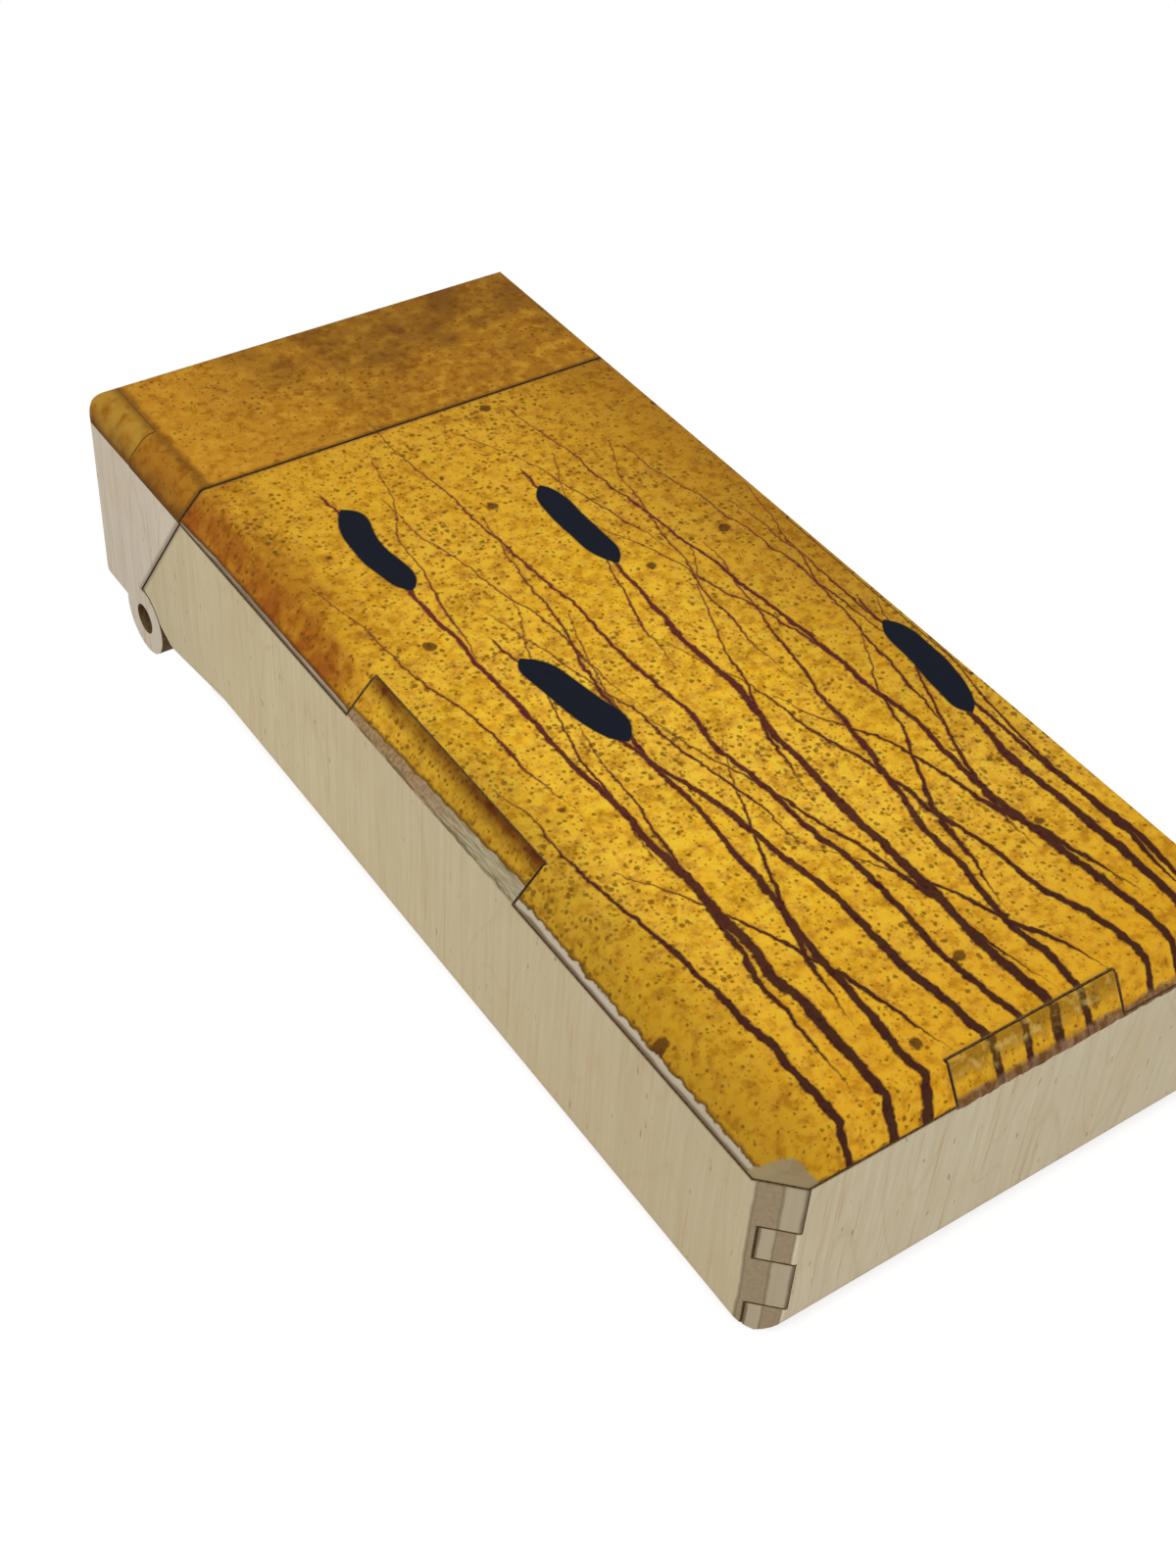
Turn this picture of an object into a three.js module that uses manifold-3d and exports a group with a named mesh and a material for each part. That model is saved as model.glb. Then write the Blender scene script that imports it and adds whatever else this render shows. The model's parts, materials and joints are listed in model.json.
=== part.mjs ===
// Flip-top cigarette case of laser-cut birch plywood, lying on its back with the printed front up.
// Millimetres, +Z up. X runs across the width, Y along the length with the lid at +Y.
// The origin is under the middle of the case, level with the lowest line of the hinge ears.
import * as THREE from 'three';
import { mergeVertices } from 'three/addons/utils/BufferGeometryUtils.js';
import Module from 'manifold-3d';

const wasm = await Module();
wasm.setup();

// Outside of the closed case
const WIDTH = 50;
const LENGTH = 110;
const THICKNESS = 21.5;

// Sheet stock
const PLY = 3; // outer panels
const END_PLY = 2.2; // bottom end, sanded back flush
const LINER_PLY = 2; // inner cheeks and collar

// Sanded edges of the closed case
const FRONT_CHAMFER = 2.75; // flat, from the joint up to the front, along the two long edges
const BACK_EDGE_R = 2.65; // the two long back edges
const HINGE_EDGE_R = 0.5; // the same edges at the hinge and on the lid
const FADE_START = 26; // from the lid end, where the long edges begin to change
const FADE_END = 15.5; // from the lid end, where the back edges have done so
const CORNER_CHAMFER = 2.9; // flat, on the two upright corners at the bottom end
const LID_CORNER_R = 0.8; // the two upright corners at the lid end
const END_CHAMFER = 1.9; // flat, from the joint up to the front, along the bottom end
const END_BACK_R = 2.65; // back edge of the bottom end
const LID_FRONT_R = 1.1; // front edge of the lid end
const LID_EDGE_R = 2.8; // left front edge at the lid end, where its flat has turned round
const LID_BACK_R = 2.2; // back edge of the lid end

// Clearances
const GLUE_GAP = 0.12; // between glued panels, seen as the dark joint lines
const SEAM_GAP = 0.2; // between the lid and the case
const SLIP_GAP = 0.3; // between the liners and what the lid slides over
const RUN_GAP = 0.25; // between the turning ears and the case
const PIN_PLAY = 0.2; // pin to the bored ears, on the radius
const PIN_GRIP = 0.05; // pin to the bored lugs, on the radius
const MAGNET_PLAY = 0.1; // magnet to its pocket, all round
const HINGE_LINE_GAP = 0.3; // between the two back panels

// Lid and hinge
const LID_FRONT_LENGTH = 19.6; // front seam from the lid end
const AXIS_FROM_END = 9; // hinge axis from the lid end
const AXIS_BEHIND_BACK = 0.3; // hinge axis below the back face
const EAR_R = 3.8;
const LUG_R = 3.5;
const PIN_R = 1.4;
const PIN_RECESS = 0.8; // pin end below the face of the ear
const HEEL_LENGTH = 2.8; // slope on the case behind the ears, along the back
const HEEL_RISE = 1.4;

// Finger joints
const SIDE_TAB_START = 33.7; // side tab in the front panel, from the bottom end
const SIDE_TAB_LENGTH = 25.8;
const END_TAB_WIDTH = 16.7; // end tab in the front panel
const LID_TAB_LENGTH = 9.2; // lid side tab in the lid front, from the lid end
const CORNER_STEPS = [3.7, 9.3, 13.2]; // heights on the back face where the corner fingers change

// Collar, thumb notch and closing magnets
const COLLAR_INSIDE = 24; // glued length behind the front panel
const COLLAR_REACH = 9.6; // how far the liners stand out of the case at the front
const THUMB_R = 9;
const MAGNET_R = 2;
const MAGNET_HEIGHT = 1.2;
const MAGNET_FROM_CHEEK = 5.7; // magnet centre from the inner cheek
const MAGNET_FROM_SEAM = 4.6;

// Fineness of round outlines
const ARC_STEPS = 7; // on a rounded corner
const ROUND_STEPS = 40; // on a full circle

// Places worked out from the sizes above
const right = WIDTH / 2;
const inner = right - PLY; // inner face of a side panel
const lidEnd = LENGTH / 2;
const bottomEnd = -LENGTH / 2;
const axisY = lidEnd - AXIS_FROM_END;
const axisZ = EAR_R;
const back = axisZ + AXIS_BEHIND_BACK;
const front = back + THICKNESS;
const backInner = back + PLY;
const frontInner = front - PLY;
const endInner = bottomEnd + END_PLY;
const lidEndInner = lidEnd - PLY;
const seamY = lidEnd - LID_FRONT_LENGTH;
const halfGlue = GLUE_GAP / 2;
const halfSeam = SEAM_GAP / 2;
const earTop = axisZ + EAR_R;
const cheekOuter = inner - SLIP_GAP;
const cheekInner = cheekOuter - LINER_PLY;
const collarTop = frontInner - SLIP_GAP;
const collarBottom = collarTop - LINER_PLY;
const linerEnd = seamY + COLLAR_REACH;
const magnetX = cheekInner - MAGNET_FROM_CHEEK;
const magnetY = seamY + MAGNET_FROM_SEAM;
const pocketDepth = MAGNET_HEIGHT + MAGNET_PLAY;

// Outline through corners given as [a, b, radius], each rounded to its radius.
function outline(corners) {
  const points = [];
  corners.forEach(([a, b, radius = 0], i) => {
    const corner = new THREE.Vector2(a, b);
    if (radius === 0) {
      points.push(corner);
      return;
    }
    const before = corners[(i + corners.length - 1) % corners.length];
    const after = corners[(i + 1) % corners.length];
    const toBefore = new THREE.Vector2(before[0], before[1]).sub(corner).normalize();
    const toAfter = new THREE.Vector2(after[0], after[1]).sub(corner).normalize();
    const halfAngle = Math.acos(toBefore.dot(toAfter)) / 2;
    const centre = toBefore.clone().add(toAfter).normalize();
    centre.multiplyScalar(radius / Math.sin(halfAngle)).add(corner);
    const start = toBefore.clone().multiplyScalar(radius / Math.tan(halfAngle)).add(corner).sub(centre);
    const turn = Math.sign(toAfter.cross(toBefore)) * (Math.PI - 2 * halfAngle);
    for (let step = 0; step <= ARC_STEPS; step += 1) {
      const spoke = start.clone().rotateAround(new THREE.Vector2(), (turn * step) / ARC_STEPS);
      points.push(spoke.add(centre));
    }
  });
  return new THREE.Shape(points);
}

function circle(a, b, radius) {
  const points = [];
  for (let step = 0; step < ROUND_STEPS; step += 1) {
    const angle = (2 * Math.PI * step) / ROUND_STEPS;
    points.push(new THREE.Vector2(a + radius * Math.cos(angle), b + radius * Math.sin(angle)));
  }
  return new THREE.Shape(points);
}

function rectangle(a0, a1, b0, b1) {
  return outline([[a0, b0], [a1, b0], [a1, b1], [a0, b1]]);
}

// Solid between two planes square to an axis. Outlines are in (y, z), (x, z) or (x, y).
const xAxis = new THREE.Vector3(1, 0, 0);
const yAxis = new THREE.Vector3(0, 1, 0);
const zAxis = new THREE.Vector3(0, 0, 1);
const turns = {
  x: new THREE.Matrix4().makeBasis(yAxis, zAxis, xAxis),
  y: new THREE.Matrix4().makeBasis(xAxis, zAxis, yAxis.clone().negate()),
  z: new THREE.Matrix4(),
};

function sheet(shape, axis, from, to) {
  const geometry = new THREE.ExtrudeGeometry(shape, { depth: to - from, bevelEnabled: false });
  geometry.applyMatrix4(turns[axis]);
  geometry.translate(axis === 'x' ? from : 0, axis === 'y' ? to : 0, axis === 'z' ? from : 0);
  geometry.deleteAttribute('normal');
  geometry.deleteAttribute('uv');
  const merged = mergeVertices(geometry);
  return new wasm.Manifold(new wasm.Mesh({
    numProp: 3,
    vertProperties: merged.attributes.position.array,
    triVerts: new Uint32Array(merged.index.array),
  }));
}

// Outside of the closed case: its section, its plan and its profile, each with its sanded edges.
const flatEdges = [
  [right, frontInner],
  [right - FRONT_CHAMFER, front],
  [-right + FRONT_CHAMFER, front],
  [-right, frontInner],
];
const leftRound = [
  [right, frontInner],
  [right - FRONT_CHAMFER, front],
  [-right, front, LID_EDGE_R],
];
const section = (backRadius, frontEdges) => outline([
  [-right, back, backRadius],
  [right, back, backRadius],
  ...frontEdges,
]);
const slice = (backRadius, frontEdges, y) => section(backRadius, frontEdges)
  .getPoints()
  .map((point) => [point.x, y, point.y]);
const fade = wasm.Manifold.hull([
  ...slice(BACK_EDGE_R, flatEdges, lidEnd - FADE_START),
  ...slice(HINGE_EDGE_R, flatEdges, lidEnd - FADE_END),
  ...slice(HINGE_EDGE_R, leftRound, lidEnd),
]);
const lengthwise = sheet(section(BACK_EDGE_R, flatEdges), 'y', bottomEnd, lidEnd).add(fade);
const plan = sheet(outline([
  [-right, bottomEnd + CORNER_CHAMFER],
  [-right + CORNER_CHAMFER, bottomEnd],
  [right - CORNER_CHAMFER, bottomEnd],
  [right, bottomEnd + CORNER_CHAMFER],
  [right, lidEnd, LID_CORNER_R],
  [-right, lidEnd, LID_CORNER_R],
]), 'z', back, front);
const profile = sheet(outline([
  [bottomEnd, back, END_BACK_R],
  [lidEnd, back, LID_BACK_R],
  [lidEnd, front, LID_FRONT_R],
  [bottomEnd + END_CHAMFER, front],
  [bottomEnd, frontInner],
]), 'x', -right, right);
const sanded = lengthwise.intersect(plan).intersect(profile);

const mirror = (solid) => solid.mirror([1, 0, 0]);
const tabStart = bottomEnd + SIDE_TAB_START;
const tabEnd = tabStart + SIDE_TAB_LENGTH;
const lidTabStart = lidEnd - LID_TAB_LENGTH;
const [stepLow, stepMiddle, stepHigh] = CORNER_STEPS.map((height) => back + height);

// Front panel, let in round the side tabs and the end tab.
function frontPanel() {
  const caseSeam = seamY - halfSeam;
  const slot = inner - halfGlue;
  const tab = END_TAB_WIDTH / 2 + halfGlue;
  const shape = outline([
    [-right, bottomEnd],
    [-tab, bottomEnd],
    [-tab, endInner + halfGlue],
    [tab, endInner + halfGlue],
    [tab, bottomEnd],
    [right, bottomEnd],
    [right, tabStart - halfGlue],
    [slot, tabStart - halfGlue],
    [slot, tabEnd + halfGlue],
    [right, tabEnd + halfGlue],
    [right, caseSeam],
    [-right, caseSeam],
    [-right, tabEnd + halfGlue],
    [-slot, tabEnd + halfGlue],
    [-slot, tabStart - halfGlue],
    [-right, tabStart - halfGlue],
  ]);
  return sheet(shape, 'z', frontInner + halfGlue, front).intersect(sanded);
}

// Back panel, set in between the sides, cut away at the hinge for the two lugs.
function backPanel() {
  const edge = inner - halfGlue;
  const lugSide = cheekInner - SLIP_GAP;
  const hingeLine = axisY - HINGE_LINE_GAP / 2;
  const lugClear = axisY - LUG_R - SLIP_GAP;
  const shape = outline([
    [-edge, endInner + halfGlue],
    [edge, endInner + halfGlue],
    [edge, lugClear],
    [lugSide, lugClear],
    [lugSide, hingeLine],
    [-lugSide, hingeLine],
    [-lugSide, lugClear],
    [-edge, lugClear],
  ]);
  return sheet(shape, 'z', back, backInner);
}

// Left side panel: corner fingers at the bottom end, a tab into the front, a slanted seam to the ear.
function sidePanel() {
  const cut = frontInner - halfGlue;
  const heelEnd = axisY - EAR_R;
  const shape = outline([
    [endInner + halfGlue, back],
    [heelEnd - HEEL_LENGTH, back],
    [heelEnd, back + HEEL_RISE],
    [axisY - halfSeam, earTop],
    [seamY - halfSeam, cut],
    [tabEnd - halfGlue, cut],
    [tabEnd - halfGlue, front],
    [tabStart + halfGlue, front],
    [tabStart + halfGlue, cut],
    [bottomEnd, cut],
    [bottomEnd, stepHigh + halfGlue],
    [endInner + halfGlue, stepHigh + halfGlue],
    [endInner + halfGlue, stepMiddle - halfGlue],
    [bottomEnd, stepMiddle - halfGlue],
    [bottomEnd, stepLow + halfGlue],
    [endInner + halfGlue, stepLow + halfGlue],
  ]);
  const earClear = sheet(circle(axisY, axisZ, EAR_R + RUN_GAP), 'x', -right, -inner);
  return sheet(shape, 'x', -right, -inner).intersect(sanded).subtract(earClear);
}

// Bottom end panel, with two fingers through each side and a tab into the front.
function bottomEndPanel() {
  const edge = inner - halfGlue;
  const cut = frontInner - halfGlue;
  const tab = END_TAB_WIDTH / 2 - halfGlue;
  const shape = outline([
    [-right, back],
    [right, back],
    [right, stepLow - halfGlue],
    [edge, stepLow - halfGlue],
    [edge, stepMiddle + halfGlue],
    [right, stepMiddle + halfGlue],
    [right, stepHigh - halfGlue],
    [edge, stepHigh - halfGlue],
    [edge, cut],
    [tab, cut],
    [tab, front],
    [-tab, front],
    [-tab, cut],
    [-edge, cut],
    [-edge, stepHigh - halfGlue],
    [-right, stepHigh - halfGlue],
    [-right, stepMiddle + halfGlue],
    [-edge, stepMiddle + halfGlue],
    [-edge, stepLow - halfGlue],
    [-right, stepLow - halfGlue],
  ]);
  return sheet(shape, 'y', bottomEnd, endInner - halfGlue).intersect(sanded);
}

// Left inner cheek: lines the side, guides the lid, and carries the hinge lug.
function innerCheek() {
  const foot = backInner + halfGlue;
  const shape = outline([
    [endInner + halfGlue, foot],
    [axisY - LUG_R, foot],
    [axisY - LUG_R, axisZ],
    [axisY, axisZ],
    [axisY, axisZ + LUG_R],
    [linerEnd, collarTop],
    [endInner + halfGlue, collarTop],
  ]);
  const lug = sheet(circle(axisY, axisZ, LUG_R), 'x', -cheekOuter, -cheekInner);
  const bore = sheet(circle(axisY, axisZ, PIN_R + PIN_GRIP), 'x', -cheekOuter, -cheekInner);
  return sheet(shape, 'x', -cheekOuter, -cheekInner).add(lug).subtract(bore);
}

// Disc or pocket for a magnet, on the left of the pair.
function magnetDisc(radius, from, to) {
  return sheet(circle(-magnetX, magnetY, radius), 'z', from, to);
}

// Front collar behind the front panel, with its thumb notch and two blind magnet pockets.
function frontCollar() {
  const edge = cheekInner - halfGlue;
  const shape = rectangle(-edge, edge, seamY - COLLAR_INSIDE, linerEnd);
  const plate = sheet(shape, 'z', collarBottom, collarTop);
  const notch = sheet(circle(0, linerEnd, THUMB_R), 'z', collarBottom, collarTop);
  const pocket = magnetDisc(MAGNET_R + MAGNET_PLAY, collarTop - pocketDepth, collarTop);
  return plate.subtract(notch).subtract(pocket).subtract(mirror(pocket));
}

// Left hinge pin, fixed in the lug and turning in the ear.
function hingePin() {
  return sheet(circle(axisY, axisZ, PIN_R), 'x', -right + PIN_RECESS, -cheekInner);
}

// Lid front panel, let in round the two side tabs, with two blind magnet pockets.
function lidFrontPanel() {
  const slot = inner - halfGlue;
  const shape = outline([
    [-right, seamY + halfSeam],
    [right, seamY + halfSeam],
    [right, lidTabStart - halfGlue],
    [slot, lidTabStart - halfGlue],
    [slot, lidEnd],
    [-slot, lidEnd],
    [-slot, lidTabStart - halfGlue],
    [-right, lidTabStart - halfGlue],
  ]);
  const from = frontInner + halfGlue;
  const pocket = magnetDisc(MAGNET_R + MAGNET_PLAY, from, from + pocketDepth);
  return sheet(shape, 'z', from, front).intersect(sanded).subtract(pocket).subtract(mirror(pocket));
}

// Lid side, on the left unless placed elsewhere: a tab into the lid front, the slanted seam, the hinge ear.
function lidSide(place = (solid) => solid) {
  const cut = frontInner - halfGlue;
  const shape = outline([
    [axisY, back],
    [lidEnd, back],
    [lidEnd, front],
    [lidTabStart + halfGlue, front],
    [lidTabStart + halfGlue, cut],
    [seamY + halfSeam, cut],
    [axisY + halfSeam, earTop],
  ]);
  const ear = sheet(circle(axisY, axisZ, EAR_R), 'x', -right, -inner);
  const bore = sheet(circle(axisY, axisZ, PIN_R + PIN_PLAY), 'x', -right, -inner);
  return place(sheet(shape, 'x', -right, -inner)).intersect(sanded).add(place(ear)).subtract(place(bore));
}

// Lid top panel, set in between the sides under the lid front.
function lidTopPanel() {
  const edge = inner - halfGlue;
  const shape = rectangle(-edge, edge, back, frontInner - halfGlue);
  return sheet(shape, 'y', lidEndInner + halfGlue, lidEnd).intersect(sanded);
}

// Lid back panel, set in between the sides, cut away at the hinge for the two lugs.
function lidBackPanel() {
  const edge = inner - halfGlue;
  const lugSide = cheekInner - SLIP_GAP;
  const hingeLine = axisY + HINGE_LINE_GAP / 2;
  const lugClear = axisY + LUG_R + SLIP_GAP;
  const shape = outline([
    [-lugSide, hingeLine],
    [lugSide, hingeLine],
    [lugSide, lugClear],
    [edge, lugClear],
    [edge, lidEndInner - halfGlue],
    [-edge, lidEndInner - halfGlue],
    [-edge, lugClear],
    [-lugSide, lugClear],
  ]);
  return sheet(shape, 'z', back, backInner);
}

// Finishes
const birch = new THREE.MeshStandardMaterial({ color: 0xc2b392, roughness: 0.7, metalness: 0 });
const printedBirch = new THREE.MeshStandardMaterial({ color: 0xc8982c, roughness: 0.5, metalness: 0 });
const steel = new THREE.MeshStandardMaterial({ color: 0x8d8a85, roughness: 0.35, metalness: 1 });
const nickel = new THREE.MeshStandardMaterial({ color: 0xb9b7b2, roughness: 0.25, metalness: 1 });

function mesh(name, solid, material) {
  const { vertProperties, triVerts } = solid.getMesh();
  const geometry = new THREE.BufferGeometry();
  geometry.setAttribute('position', new THREE.BufferAttribute(vertProperties, 3));
  geometry.setIndex(new THREE.BufferAttribute(triVerts, 1));
  const part = new THREE.Mesh(geometry, material);
  part.name = name;
  return part;
}

// A left piece and its mirror image on the right.
function pair(name, solid, material) {
  return [mesh(`left_${name}`, solid, material), mesh(`right_${name}`, mirror(solid), material)];
}

const caseMagnet = magnetDisc(MAGNET_R, collarTop - MAGNET_HEIGHT, collarTop);
const caseBody = new THREE.Group();
caseBody.add(
  mesh('front_panel', frontPanel(), printedBirch),
  mesh('back_panel', backPanel(), birch),
  ...pair('side_panel', sidePanel(), birch),
  mesh('bottom_end_panel', bottomEndPanel(), birch),
  ...pair('inner_cheek', innerCheek(), birch),
  mesh('front_collar', frontCollar(), birch),
  ...pair('hinge_pin', hingePin(), steel),
  ...pair('case_magnet', caseMagnet, nickel),
);

const lidMagnet = magnetDisc(MAGNET_R, frontInner + halfGlue, frontInner + halfGlue + MAGNET_HEIGHT);
const lid = new THREE.Group();
lid.add(
  mesh('lid_front_panel', lidFrontPanel(), printedBirch),
  mesh('lid_top_panel', lidTopPanel(), birch),
  mesh('lid_back_panel', lidBackPanel(), birch),
  mesh('left_lid_side', lidSide(), birch),
  mesh('right_lid_side', lidSide(mirror), birch),
  ...pair('lid_magnet', lidMagnet, nickel),
);

const cigaretteCase = new THREE.Group();
cigaretteCase.add(caseBody, lid);

export default cigaretteCase;
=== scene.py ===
import json
import math

import bmesh
import bpy
from mathutils import Euler, Matrix, Vector
from mathutils.bvhtree import BVHTree


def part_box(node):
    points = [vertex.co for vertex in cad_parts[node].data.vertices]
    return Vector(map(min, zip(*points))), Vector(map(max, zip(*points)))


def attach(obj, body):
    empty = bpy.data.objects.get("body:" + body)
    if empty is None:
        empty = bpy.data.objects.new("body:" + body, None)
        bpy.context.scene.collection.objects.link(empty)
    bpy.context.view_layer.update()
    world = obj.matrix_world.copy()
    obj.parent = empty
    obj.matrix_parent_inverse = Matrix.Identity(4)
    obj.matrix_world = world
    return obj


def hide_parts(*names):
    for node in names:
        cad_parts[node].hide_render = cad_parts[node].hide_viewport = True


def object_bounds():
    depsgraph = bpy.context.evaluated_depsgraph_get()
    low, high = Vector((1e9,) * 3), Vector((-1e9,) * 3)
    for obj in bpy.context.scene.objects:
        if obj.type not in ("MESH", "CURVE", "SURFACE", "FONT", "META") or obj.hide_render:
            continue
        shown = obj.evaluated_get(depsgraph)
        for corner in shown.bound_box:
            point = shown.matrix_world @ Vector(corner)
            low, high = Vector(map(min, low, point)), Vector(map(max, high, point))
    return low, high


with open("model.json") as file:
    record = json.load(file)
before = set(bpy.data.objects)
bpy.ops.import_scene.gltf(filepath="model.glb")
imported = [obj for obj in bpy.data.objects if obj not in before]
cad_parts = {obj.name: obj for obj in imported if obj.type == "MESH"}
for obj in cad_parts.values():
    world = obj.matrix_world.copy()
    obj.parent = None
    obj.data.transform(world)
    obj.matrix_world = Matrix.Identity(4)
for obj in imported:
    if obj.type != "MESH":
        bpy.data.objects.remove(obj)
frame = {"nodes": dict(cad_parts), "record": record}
cad_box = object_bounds()

# Back panel of the case: a plain piece of three-ply birch, cut by laser and glued in between the sides.
# It is sanded outside and bare within, and the laser leaves its cut edges brown.
MM = 0.001
ACROSS, ALONG, UP = 0, 1, 2  # axes of the case: its width, its length and its thickness
ONE_FACE = math.radians(0.5)  # triangles that turn by less than this are one flat face
SHARP = math.radians(35)  # an edge whose faces turn by more than this is eased
CREASE = math.radians(28)  # an edge whose faces turn by more than this stays creased in the shading
EASED = 0.14 * MM  # what sandpaper takes off a cut edge
EASED_STRIPS = 2
SAND_REACH = 2.4 * MM  # a cut face this far inside the case is out of the sander's reach
CUT_SLOPE = 0.3  # a face that leans less than this towards the flat of the sheet is cut through it
SAME_POINT = 0.001 * MM
CLEAR_OF_FACE = 0.01 * MM
PLY_EDGES = (0.43, 0.9)  # depth of the two glue lines from the inner face, as shares of the sheet
GLUE_HALF = 0.03  # half the thickness of a glue line, as a share of the sheet
WOOD_GLOSS = 0.3
outside_low, outside_high = (Vector(corner) for corner in cad_box)
outside_low.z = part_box("back_panel")[0][UP]
points, polygons = [], []
for solid in frame["nodes"].values():
    polygons += [[len(points) + vertex for vertex in polygon.vertices] for polygon in solid.data.polygons]
    points += [vertex.co for vertex in solid.data.vertices]
solids = BVHTree.FromPolygons(points, polygons)


def linear(code):
    """An sRGB hex colour as linear RGBA."""
    values = [int(code[start:start + 2], 16) / 255 for start in (1, 3, 5)]
    return [v / 12.92 if v <= 0.04045 else ((v + 0.055) / 1.055) ** 2.4 for v in values] + [1]


def add(tree, kind, inputs=None, **settings):
    """Adds a node with its settings, links or sets each of its inputs, and gives its outputs."""
    node = tree.nodes.new("ShaderNode" + kind)
    for setting, value in settings.items():
        setattr(node, setting, value)
    for socket, value in (inputs or {}).items():
        if isinstance(value, bpy.types.NodeSocket):
            tree.links.new(value, node.inputs[socket])
        else:
            node.inputs[socket].default_value = value
    return node.outputs


def in_millimetres(tree):
    """The place on the piece, in millimetres of the case."""
    place = add(tree, "TexCoord")["Object"]
    return add(tree, "VectorMath", {0: place, "Scale": 1 / MM}, operation="SCALE")[0]


def blank(name):
    """An empty material with its tree, its one shader, and the place on the piece."""
    material = bpy.data.materials.new(name)
    material.use_nodes = True
    tree = material.node_tree
    return material, tree, tree.nodes["Principled BSDF"], in_millimetres(tree)


def grained(tree, place, grain, across, along, detail=3):
    """Streaks along one axis, so many millimetres wide and long."""
    stretch = [1 / across] * 3
    stretch[grain] = 1 / along
    stretched = add(tree, "VectorMath", {0: place, 1: stretch}, operation="MULTIPLY")[0]
    noise = {"Vector": stretched, "Scale": 1, "Detail": detail, "Distortion": 0.2}
    return add(tree, "TexNoise", noise)["Fac"]


def birch_veneer(tree, place, grain, pale, tan, bottom_shade):
    """Face veneer of the sheet: its colour, its broad streaks, its fine fibres and a painted shade towards
    the bottom end.
    """
    along = add(tree, "SeparateXYZ", {0: place})[ALONG]
    streaks = grained(tree, place, grain, 0.6, 20)
    fibres = grained(tree, place, grain, 0.2, 5, 2)
    flecks = grained(tree, place, grain, 0.4, 1.6, 1)
    warm_streaks = grained(tree, place, grain, 0.4, 14, 2)
    rings = add(tree, "Math", {0: grained(tree, place, grain, 10, 45, 1), 1: 8}, operation="MULTIPLY")[0]
    rings = add(tree, "Math", {0: rings, 1: 0.5}, operation="PINGPONG")[0]
    blush = add(tree, "TexNoise", {"Vector": place, "Scale": 1 / 7, "Detail": 3})["Fac"]
    # Painted shade: the veneer is tinted darker towards the bottom end of the case.
    towards_bottom = add(tree, "MapRange", {0: along, 1: 20, 2: outside_low.y / MM})[0]
    veneer = linear(pale)
    for pattern, start, end, most, tint in (
        (streaks, 0.34, 0.66, 0.7, tan),
        (blush, 0.5, 0.7, 0.3, "#BFA67C"),
        (towards_bottom, 0, 1, bottom_shade, "#9C8D74"),
        (rings, 0.08, 0, 0.3, "#B09A70"),
        (warm_streaks, 0.62, 0.72, 0.5, "#B28F5E"),
        (fibres, 0.48, 0.7, 0.16, "#A9956D"),
        (flecks, 0.73, 0.79, 0.7, "#8A7048"),
    ):
        share = add(tree, "MapRange", {0: pattern, 1: start, 2: end, 4: most})[0]
        veneer = add(tree, "Mix", {0: share, 6: veneer, 7: linear(tint)}, data_type="RGBA")[2]
    return veneer, streaks, fibres


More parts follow.
